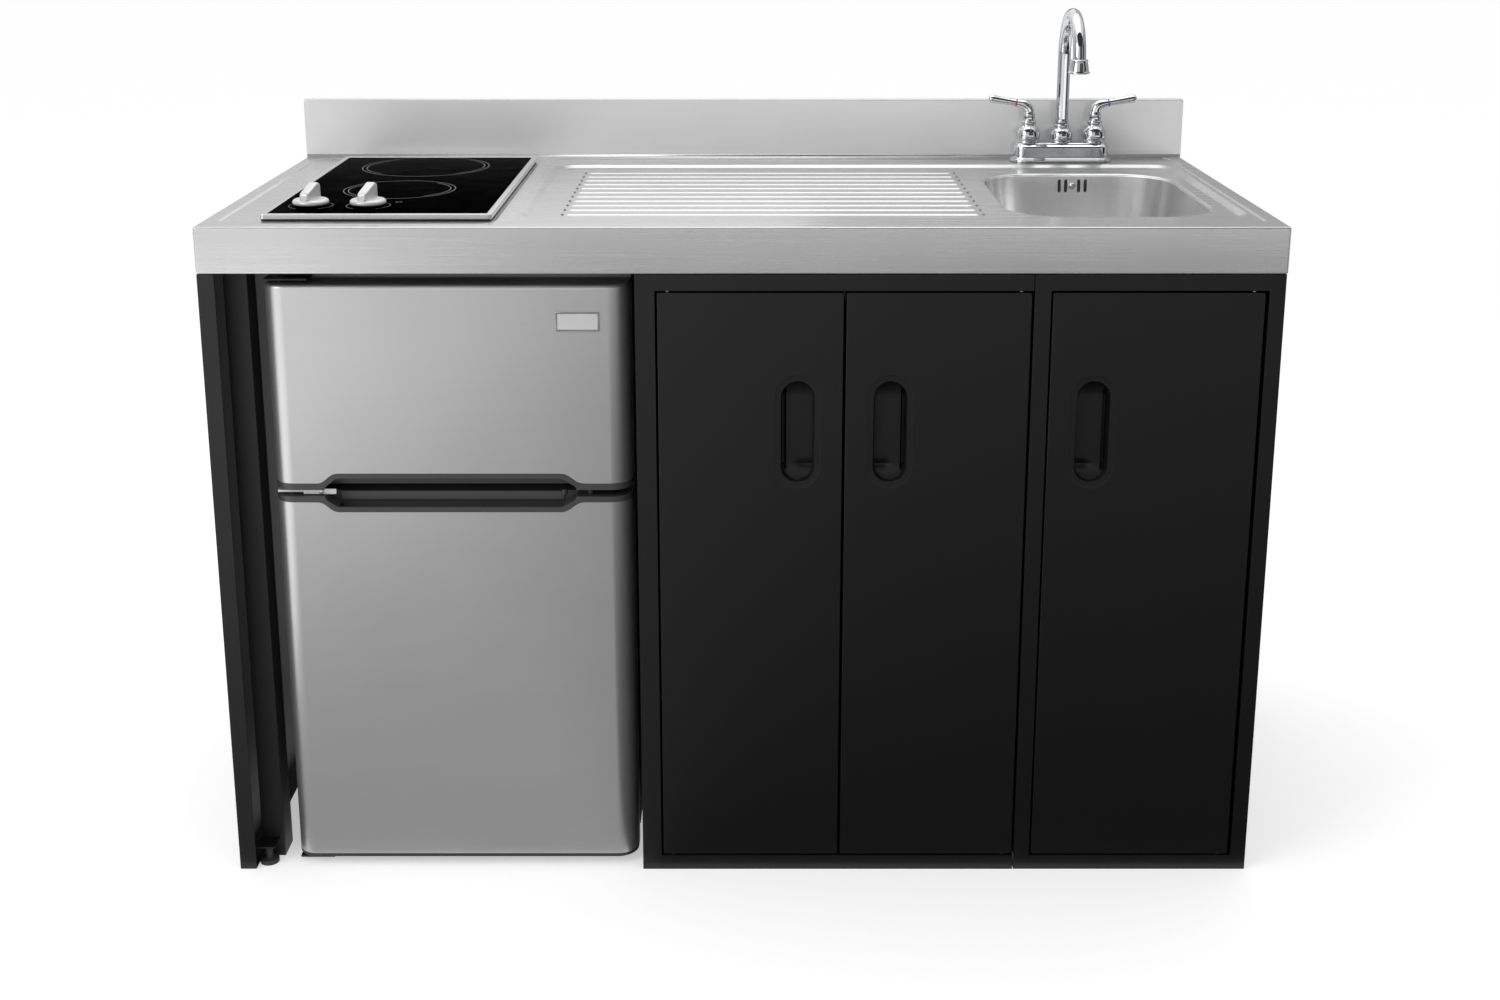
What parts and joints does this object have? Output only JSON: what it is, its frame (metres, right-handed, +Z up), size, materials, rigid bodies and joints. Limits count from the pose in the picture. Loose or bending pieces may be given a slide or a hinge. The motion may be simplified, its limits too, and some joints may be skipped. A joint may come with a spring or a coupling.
{
  "type": "kitchenette unit with sink and hob",
  "caption": "Compact kitchenette: steel worktop with sink, drainer, gooseneck faucet and glass hob over a two-door refrigerator and black steel base cabinets.",
  "frame": {"origin": "on the floor, under the middle of the worktop", "axes": "+X to the right seen from the front, +Y to the wall, +Z up"},
  "size_m": [1.372, 0.61, 1.1259],
  "materials": {
    "counter_steel": "brushed, satin",
    "bowl_steel": "brushed, satin",
    "chrome": "polished",
    "door_steel": "brushed, satin",
    "black_paint": "powder coat, fine texture",
    "black_plastic": "satin moulded",
    "white_plastic": "smooth moulded",
    "foam": "rigid foam",
    "dark_glass": "black ceramic glass, polished, with grey print",
    "clear_glass": "clear",
    "silver": "satin silver",
    "zinc": "zinc plated",
    "rubber": "soft matt"
  },
  "bodies": {
    "unit": {"worktop": "counter_steel", "backsplash": "counter_steel", "worktop_stiffeners": "zinc", "sink_bowl": "bowl_steel", "strainer_body": "chrome", "strainer_locknut": "zinc", "tailpiece": "chrome", "overflow_pipe": "white_plastic", "faucet_body": "chrome", "faucet_clamp_plate": "zinc", "hob_frame": "silver", "hob_glass": "dark_glass", "hob_burner_box": "zinc", "hob_element_rear": "zinc", "hob_element_front": "zinc", "hob_controls": "black_plastic", "left_end_panel": "black_paint", "left_panel_foot": "rubber", "bay_post": "black_paint", "bay_rear_rail": "black_paint", "double_carcass": "black_paint", "single_carcass": "black_paint", "cabinet_shelf": "black_paint", "double_door_catch": "black_plastic", "single_door_catch": "black_plastic", "fridge_shell": "black_paint", "fridge_foam": "foam", "fridge_liner": "white_plastic", "fridge_shelf": "clear_glass", "crisper_cover": "clear_glass", "crisper_drawer": "clear_glass", "thermostat_box": "white_plastic", "compressor": "black_paint", "condenser": "black_paint", "fridge_foot_left": "black_plastic", "fridge_foot_right": "black_plastic", "hinge_top": "black_paint", "hinge_middle": "zinc", "hinge_bottom": "black_paint"},
    "freezer_door": {"freezer_door_skin": "door_steel", "freezer_door_core": "white_plastic", "freezer_gasket": "rubber", "freezer_grip": "black_plastic"},
    "fridge_door": {"fridge_door_skin": "door_steel", "fridge_door_core": "white_plastic", "fridge_gasket": "rubber", "fridge_grip": "black_plastic", "door_bin_upper": "clear_glass", "door_bin_lower": "clear_glass"},
    "left_door": {"left_cabinet_door": "black_paint"},
    "middle_door": {"middle_cabinet_door": "black_paint"},
    "right_door": {"right_cabinet_door": "black_paint"},
    "knob_left": {"hob_knob_left": "silver"},
    "knob_right": {"hob_knob_right": "silver"},
    "hot_lever": {"hot_handle": "chrome"},
    "cold_lever": {"cold_handle": "chrome"},
    "spout_assembly": {"spout": "chrome", "aerator": "chrome"},
    "basket": {"strainer_basket": "chrome"},
    "dial": {"thermostat_dial": "white_plastic"}
  },
  "joints": [
    {"name": "freezer_door_hinge", "type": "hinge", "parent": "unit", "child": "freezer_door", "pos_m": [-0.59, -0.271, 0.676], "axis": [0, 0, -1], "range_deg": [0, 115]},
    {"name": "fridge_door_hinge", "type": "hinge", "parent": "unit", "child": "fridge_door", "pos_m": [-0.59, -0.271, 0.271], "axis": [0, 0, -1], "range_deg": [0, 115]},
    {"name": "left_door_hinge", "type": "hinge", "parent": "unit", "child": "left_door", "pos_m": [-0.0945, -0.2967, 0.414], "axis": [0, 0, -1], "range_deg": [0, 110]},
    {"name": "middle_door_hinge", "type": "hinge", "parent": "unit", "child": "middle_door", "pos_m": [0.3526, -0.2967, 0.414], "axis": [0, 0, 1], "range_deg": [0, 110]},
    {"name": "right_door_hinge", "type": "hinge", "parent": "unit", "child": "right_door", "pos_m": [0.6465, -0.2967, 0.414], "axis": [0, 0, 1], "range_deg": [0, 110]},
    {"name": "left_knob_turn", "type": "hinge", "parent": "unit", "child": "knob_left", "pos_m": [-0.565, -0.185, 0.905], "axis": [0, 0, -1], "range_deg": [0, 270]},
    {"name": "right_knob_turn", "type": "hinge", "parent": "unit", "child": "knob_right", "pos_m": [-0.49, -0.185, 0.905], "axis": [0, 0, -1], "range_deg": [0, 270]},
    {"name": "hot_lever_turn", "type": "hinge", "parent": "unit", "child": "hot_lever", "pos_m": [0.441, 0.269, 0.96], "axis": [0, 0, 1], "range_deg": [0, 90]},
    {"name": "cold_lever_turn", "type": "hinge", "parent": "unit", "child": "cold_lever", "pos_m": [0.543, 0.269, 0.96], "axis": [0, 0, -1], "range_deg": [0, 90]},
    {"name": "spout_swivel", "type": "hinge", "parent": "unit", "child": "spout_assembly", "pos_m": [0.492, 0.269, 0.96], "axis": [0, 0, 1], "range_deg": [-90, 90]},
    {"name": "basket_lift", "type": "slide", "parent": "unit", "child": "basket", "axis": [0, 0, 1], "range_m": [0, 0.06]},
    {"name": "thermostat_turn", "type": "hinge", "parent": "unit", "child": "dial", "pos_m": [-0.204, -0.06, 0.468], "axis": [0, -1, 0], "range_deg": [0, 270]}
  ]
}
